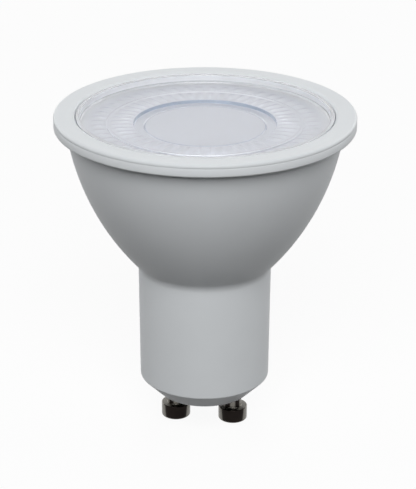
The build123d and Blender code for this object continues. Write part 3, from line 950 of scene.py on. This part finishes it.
class LAMP_OT_pins(bpy.types.Operator):
    """Turn the two contact pins"""

    bl_idname = "lamp.pins"
    bl_label = "Contact pins"

    def execute(self, context):
        sizes = context.scene.lamp_pins
        floor_top = context.scene.lamp_housing.floor_thickness
        head_top = PIN_LOW.z + sizes.head_height
        material = nickel_painted_dark_face_on(context.scene.lamp_colours, head_top)
        head_radius = (PIN_HIGH.x - PIN_LOW.x) / 2
        place = (PIN_LOW.x + PIN_HIGH.x) / 2
        collar_top = floor_top + sizes.collar_height
        points = outline([
            (0.0, PIN_LOW.z),
            (head_radius, PIN_LOW.z, sizes.head_round),
            (head_radius, head_top, sizes.head_top_round),
            (sizes.stem_radius, head_top, sizes.edge_break),
            (sizes.stem_radius, floor_top),
            (sizes.collar_radius, floor_top, sizes.edge_break),
            (sizes.collar_radius, collar_top, sizes.edge_break),
            (sizes.tail_radius, collar_top),
            (sizes.tail_radius, PIN_HIGH.z, sizes.edge_break),
            (0.0, PIN_HIGH.z),
        ])
        for side, node in ((-1, "contact_pin_left"), (1, "contact_pin_right")):
            mesh = bmesh.new()
            turned(mesh, points, sizes.turn_steps, (side * place, 0.0))
            made = finished(node.replace("contact_", "turned_"), mesh, material)
            placed(made, "pin_metal", node)
        return {"FINISHED"}


class LAMP_OT_plate(bpy.types.Operator):
    """Build the LED board, its LEDs and the screws that hold it"""

    bl_idname = "lamp.plate"
    bl_label = "LED plate"

    def execute(self, context):
        sizes = context.scene.lamp_plate
        colours = context.scene.lamp_colours
        screw_circle = SCREWS_HIGH.y - sizes.screw_head_radius
        tree = ring_tree()
        self.board(sizes, colours, screw_circle)
        steel = metal("bright_steel", colours.bright_steel, smooth=0.24, rough=0.4)
        self.copies("board_screw_pair", self.screw(sizes), tree, 2, screw_circle, pi / 2, steel,
                    "screw_steel", "board_screws")
        white, resin, grey = colours.package_white, colours.window_clear, colours.chip_grey
        layers = (
            ("packages", self.package, grained("led_package_white", white, colours.board_white, 0.3, 0.42)),
            ("windows", self.window, grained("led_window_resin", resin, white, 0.1, 0.18)),
            ("chips", self.chip, grained("led_chip", grey, resin, 0.2, 0.35)),
        )
        for ring, number, circle in (("outer", sizes.outer_count, (LED_LOW.x + LED_HIGH.x) / 2),
                                     ("inner", sizes.inner_count, (INNER_LED_LOW.x + INNER_LED_HIGH.x) / 2)):
            for layer, source, shader in layers:
                nodes = [f"led_{ring}_{place + 1}" for place in range(number)] if layer == "packages" else []
                self.copies(f"led_{ring}_{layer}", source(sizes), tree, number, circle, 0.0, shader.material,
                            "led_package", *nodes)
        return {"FINISHED"}

    def copies(self, name, source, tree, number, circle, start, material, slot, *nodes):
        """Copies of a source piece on a circle, as one piece in place of CAD nodes."""
        made = finished(name, bmesh.new())
        run_tree(made, tree, Source=source, Count=number, Circle=circle, Start=start, Material=material)
        bpy.data.objects.remove(source)
        placed(made, slot, *nodes)

    def board(self, sizes, colours, screw_circle):
        """Round board with two screw holes."""
        radius = BOARD_HIGH.x
        low = BOARD_LOW.z
        high = BOARD_HIGH.z
        mesh = bmesh.new()
        edge = sizes.board_edge
        points = outline([(radius - edge, low), (radius, low), (radius, high, edge),
                          (radius - 2 * edge, high)])
        rings = turned(mesh, points, BOARD_STEPS)
        pierce(mesh, rings, sizes.screw_hole_radius, (low, high),
               ((0.0, -screw_circle), (0.0, screw_circle)), SMALL_HOLE_STEPS)
        shader = grained("white_solder_mask", colours.board_white, colours.package_white, 0.32, 0.44)
        placed(finished("led_board_plate", mesh, shader.material), "white_board", "led_board")

    def screw(self, sizes):
        """One screw with a cross slot, on the lamp axis."""
        head_low = SCREWS_HIGH.z - sizes.screw_head_height
        mesh = bmesh.new()
        turned(mesh, outline([(0.0, SCREWS_LOW.z), (sizes.screw_radius, SCREWS_LOW.z, sizes.package_edge),
                              (sizes.screw_radius, head_low), (sizes.screw_head_radius, head_low),
                              (sizes.screw_head_radius, SCREWS_HIGH.z, sizes.screw_head_round),
                              (0.0, SCREWS_HIGH.z)]), HOLE_STEPS)
        made = finished("screw", mesh)
        slots = bmesh.new()
        # Past the head's edge
        reach = 1.1 * sizes.screw_head_radius
        bottom = SCREWS_HIGH.z - sizes.slot_depth
        for half_x, half_y in ((reach, sizes.slot_width / 2), (sizes.slot_width / 2, reach)):
            block(slots, (-half_x, -half_y, bottom), (half_x, half_y, SCREWS_HIGH.z + sizes.slot_depth))
        cutter = finished("screw_slots", slots)
        cut = made.modifiers.new("cross_slot", "BOOLEAN")
        cut.operation = "DIFFERENCE"
        cut.solver = "EXACT"
        cut.use_self = True
        cut.object = cutter
        baked(made)
        bpy.data.objects.remove(cutter)
        return made

    def package(self, sizes):
        """One LED package with its round window, on the lamp axis."""
        half_x = (LED_HIGH.x - LED_LOW.x) / 2
        half_y = (LED_HIGH.y - LED_LOW.y) / 2
        top = LED_HIGH.z
        mesh = bmesh.new()
        rings = []
        for inset, height in ((0.0, LED_LOW.z), (0.0, top - sizes.package_edge), (sizes.package_edge, top)):
            x = half_x - inset
            y = half_y - inset
            corners = ((x, y), (-x, y), (-x, -y), (x, -y))
            rings.append([mesh.verts.new((*corner, height)) for corner in corners])
        mesh.faces.new(rings[0])
        for low, high in zip(rings, rings[1:]):
            for number in range(4):
                mesh.faces.new([low[number - 1], low[number], high[number], high[number - 1]])
        floor = top - sizes.window_depth
        hollow = turned(mesh, [(sizes.window_radius, top), (sizes.window_taper * sizes.window_radius, floor),
                               (0.0, floor)], SMALL_HOLE_STEPS)
        fill_flat(mesh, [rings[-1], hollow[0]])
        return finished("package", mesh)

    def window(self, sizes):
        """Cast resin in one LED window, domed: from half its depth to a sixth under its mouth."""
        layer = sizes.window_depth / 6
        floor = LED_HIGH.z - 3 * layer
        top = LED_HIGH.z - layer
        radius = sizes.window_taper * sizes.window_radius
        mesh = bmesh.new()
        turned(mesh, [(0.0, floor), (radius, floor), (radius, top - layer),
                      (sizes.window_crown * radius, top), (0.0, top)], SMALL_HOLE_STEPS)
        return finished("window", mesh)

    def chip(self, sizes):
        """The chip in one LED window."""
        half = sizes.die_side / 2
        floor = LED_HIGH.z - sizes.window_depth
        mesh = bmesh.new()
        made = block(mesh, (-half, -half, floor), (half, half, floor + sizes.die_height))
        edges = list({edge for vertex in made for edge in vertex.link_edges})
        bmesh.ops.bevel(mesh, geom=edges, offset=sizes.die_bevel, segments=1, affect="EDGES")
        return finished("chip", mesh)


class LAMP_OT_inside(bpy.types.Operator):
    """Give the CAD pieces inside their finishes"""

    bl_idname = "lamp.inside"
    bl_label = "Inner pieces"

    def execute(self, context):
        colours = {item["slot"]: item["base_color"][:3] for item in frame["record"]["materials"]}
        finishes = {"aluminium_cup": metal("aluminium_cup", colours["aluminium_cup"], 0.35, 0.5),
                    "copper_winding": copper_winding(colours["copper_winding"])}
        for part in frame["record"]["subparts"]:
            slot = part["material_slot"]
            node = frame["nodes"][part["node"]]
            if node.hide_render:
                continue
            if slot not in finishes:
                base = colours[slot]
                finishes[slot] = grained(slot, base, shaded(base, 0.85), smooth=0.35, rough=0.5).material
            node.data.materials.clear()
            node.data.materials.append(finishes[slot])
        return {"FINISHED"}


def direction(bearing, lift):
    """Unit vector at a bearing from the front, to the right, and an angle over the horizon."""
    return Vector((cos(lift) * sin(bearing), -cos(lift) * cos(bearing), sin(lift)))


def aimed(name, data, target, away, distance):
    """An object at a distance from its target, looking at it."""
    made = bpy.data.objects.new(name, data)
    made.location = target + distance * away
    made.rotation_euler = (-away).to_track_quat("-Z", "Y").to_euler()
    bpy.context.collection.objects.link(made)
    return made


class LAMP_OT_stage(bpy.types.Operator):
    """Set the floor, the light and the camera"""

    bl_idname = "lamp.stage"
    bl_label = "Stage"

    def execute(self, context):
        settings = context.scene.lamp_stage
        colours = context.scene.lamp_colours
        self.floor(settings, colours)
        self.world(settings, colours)
        self.camera(settings)
        wide = settings.lamp_size
        side = settings.side_rise
        fill = settings.fill_rise
        self.lamp("front_lamp", settings, wide, 0.0, settings.front_rise, settings.front_power)
        self.lamp("left_lamp", settings, wide, -settings.side_turn, side, settings.left_power)
        self.lamp("right_lamp", settings, wide, settings.side_turn, side, settings.right_power)
        self.lamp("back_lamp", settings, settings.back_lamp_size, pi, settings.back_rise,
                  settings.back_power)
        self.lamp("fill_left_lamp", settings, wide, -settings.fill_turn, fill, settings.fill_power)
        self.lamp("fill_right_lamp", settings, wide, settings.fill_turn, fill, settings.fill_power)
        context.scene.view_settings.view_transform = "Standard"
        return {"FINISHED"}

    def lamp(self, name, settings, size, turn, rise, power):
        """A square area lamp at an angle from the camera's bearing, looking at the bulb's middle."""
        data = bpy.data.lights.new(name, "AREA")
        data.shape = "SQUARE"
        data.size = size
        data.energy = power
        middle = Vector((0.0, 0.0, settings.target_height))
        aimed(name, data, middle, direction(settings.azimuth + turn, rise), settings.lamp_distance)

    def floor(self, settings, colours):
        """Pale floor: white to the eye apart from the shadow, and a weak bounce."""
        mesh = bmesh.new()
        bmesh.ops.create_grid(mesh, x_segments=2, y_segments=2, size=settings.floor_half)
        for vertex in mesh.verts:
            vertex.co.z = PIN_LOW.z
        shader = Shader("pale_floor")
        made = finished("studio_floor", mesh, shader.material)
        grey = blend(shader.tree, shader.noise(3.0), opaque(colours.paper_shade),
                     opaque(colours.paper_white))
        paper = shader.node("ShaderNodeBsdfDiffuse", Color=grey)
        glow = shader.node("ShaderNodeEmission", Color=(1, 1, 1, 1), Strength=1.0)
        shown = either(shader.tree, settings.floor_shade, glow.outputs["Emission"], paper.outputs["BSDF"])
        bounce = shader.node("ShaderNodeBsdfDiffuse", Color=opaque((settings.floor_bounce,) * 3))
        shader.show(either(shader.tree, seen_rays(shader.tree), bounce.outputs["BSDF"], shown))

    def world(self, settings, colours):
        """Even sky: white where it is seen, weaker as light."""
        world = bpy.data.worlds.new("studio")
        bpy.context.scene.world = world
        world.use_nodes = True
        tree = world.node_tree
        ground = tree.nodes["Background"]
        ground.inputs["Color"].default_value = opaque(colours.sky)
        ground.inputs["Strength"].default_value = settings.sky_strength
        white = add_node(tree, "ShaderNodeBackground", Color=(1, 1, 1, 1), Strength=1.0)
        sky = either(tree, seen_rays(tree), ground.outputs["Background"], white.outputs["Background"])
        tree.links.new(sky, tree.nodes["World Output"].inputs["Surface"])

    def camera(self, settings):
        """Camera at the photograph's viewing angle."""
        data = bpy.data.cameras.new("photo_camera")
        data.sensor_fit = "VERTICAL"
        data.sensor_height = settings.sensor_height
        data.lens = settings.focal_length
        data.clip_start = settings.clip_start
        right = Vector((cos(settings.azimuth), sin(settings.azimuth), 0.0))
        target = settings.target_side * right + Vector((0.0, 0.0, settings.target_height))
        made = aimed("photo_camera", data, target, direction(settings.azimuth, settings.elevation),
                     settings.distance)
        made.rotation_euler.rotate_axis("Z", settings.roll)
        bpy.context.scene.camera = made


class LAMP_PT_panel(bpy.types.Panel):
    """Lists the steps that build the bulb"""

    bl_idname = "LAMP_PT_panel"
    bl_label = "LED spotlight bulb"
    bl_space_type = "VIEW_3D"
    bl_region_type = "UI"
    bl_category = "Spotlight"

    def draw(self, context):
        for step in STEPS:
            self.layout.operator(step.bl_idname)
        for name, group in GROUPS.items():
            box = self.layout.box()
            box.label(text=group.__doc__)
            for field in group.__annotations__:
                box.prop(getattr(context.scene, name), field)


STEPS = (LAMP_OT_housing, LAMP_OT_lens, LAMP_OT_pins, LAMP_OT_plate, LAMP_OT_inside, LAMP_OT_stage)


def register():
    """Register the classes and hang the property groups on the scene."""
    for group in (*GROUPS.values(), *STEPS, LAMP_PT_panel):
        bpy.utils.register_class(group)
    for name, group in GROUPS.items():
        setattr(bpy.types.Scene, name, PointerProperty(type=group))


def unregister():
    """Undo register."""
    for name in GROUPS:
        delattr(bpy.types.Scene, name)
    for group in (LAMP_PT_panel, *reversed(STEPS), *GROUPS.values()):
        bpy.utils.unregister_class(group)


def main():
    """Register the classes, then build every piece."""
    register()
    for step in STEPS:
        area, name = step.bl_idname.split(".")
        getattr(getattr(bpy.ops, area), name)()


if __name__ == "__main__":
    main()
